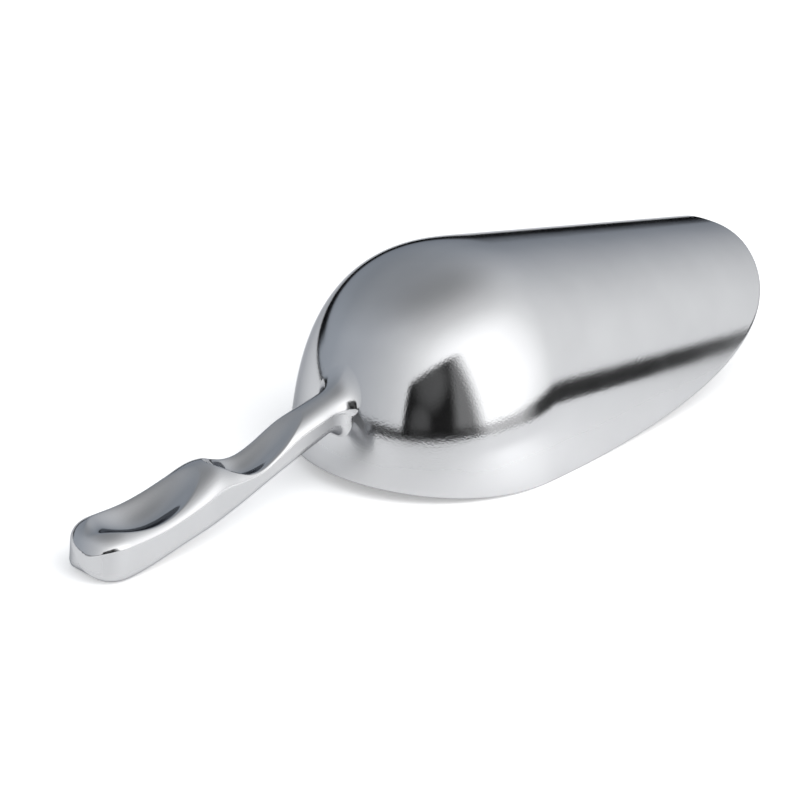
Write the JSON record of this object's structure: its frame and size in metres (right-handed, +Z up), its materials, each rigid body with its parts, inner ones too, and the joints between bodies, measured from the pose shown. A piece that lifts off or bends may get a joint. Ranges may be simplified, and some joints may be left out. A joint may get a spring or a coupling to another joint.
{
  "type": "ice scoop",
  "caption": "Cast aluminium ice scoop with a round-bottomed bowl and a contoured grip, resting mouth down.",
  "frame": {"origin": "on the table, under the middle of the scoop's length and width", "axes": "+Z up from the table, +X from the grip end towards the lip, the scoop is the same on both sides of Y"},
  "size_m": [0.2984, 0.0996, 0.0713],
  "materials": {
    "bowl_metal": "polished casting",
    "handle_metal": "polished casting"
  },
  "bodies": {
    "root": {"bowl": "bowl_metal", "handle": "handle_metal"}
  },
  "joints": []
}
